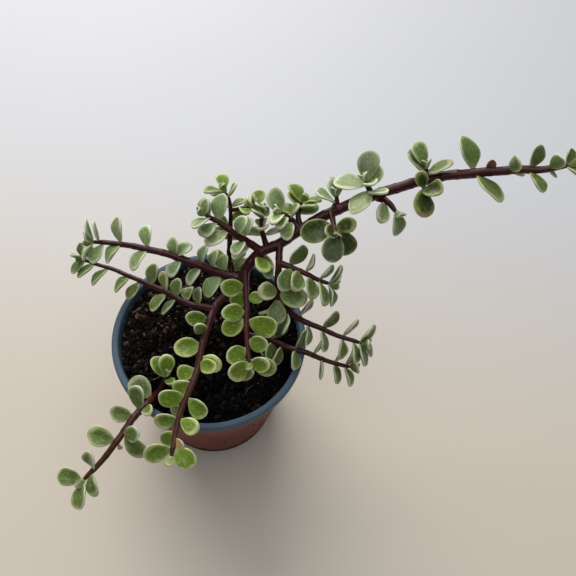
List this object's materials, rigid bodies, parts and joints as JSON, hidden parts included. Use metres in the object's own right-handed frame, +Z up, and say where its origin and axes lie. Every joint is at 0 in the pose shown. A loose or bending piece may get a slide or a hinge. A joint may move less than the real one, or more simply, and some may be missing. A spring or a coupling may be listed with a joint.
{
  "type": "potted elephant bush",
  "caption": "Variegated succulent with thin spreading and trailing stems of paired round leaves, growing from soil in a small round nursery pot.",
  "frame": {"origin": "centre of the flat underside of the pot, on the surface it stands on", "axes": "+Z up along the pot's axis; +X the way the long main stem leans out; +Y to the back"},
  "size_m": [0.2868, 0.2037, 0.2221],
  "materials": {
    "pot": "satin moulded plastic, brick red outside, slate blue rim and inside",
    "soil": "crumbly dark potting mix",
    "leafy_stem": "waxy green leaves with cream edges on dark red-brown stems"
  },
  "bodies": {
    "root": {"pot": "pot", "soil": "soil", "main_stem": "leafy_stem", "back_left_branch": "leafy_stem", "back_upright_branch": "leafy_stem", "back_twig": "leafy_stem", "upper_left_branch": "leafy_stem", "front_branch": "leafy_stem", "lower_left_branch": "leafy_stem", "middle_branch": "leafy_stem", "right_drooping_branch": "leafy_stem", "right_side_twig": "leafy_stem", "lower_right_branch": "leafy_stem", "low_front_branch": "leafy_stem"}
  },
  "joints": []
}
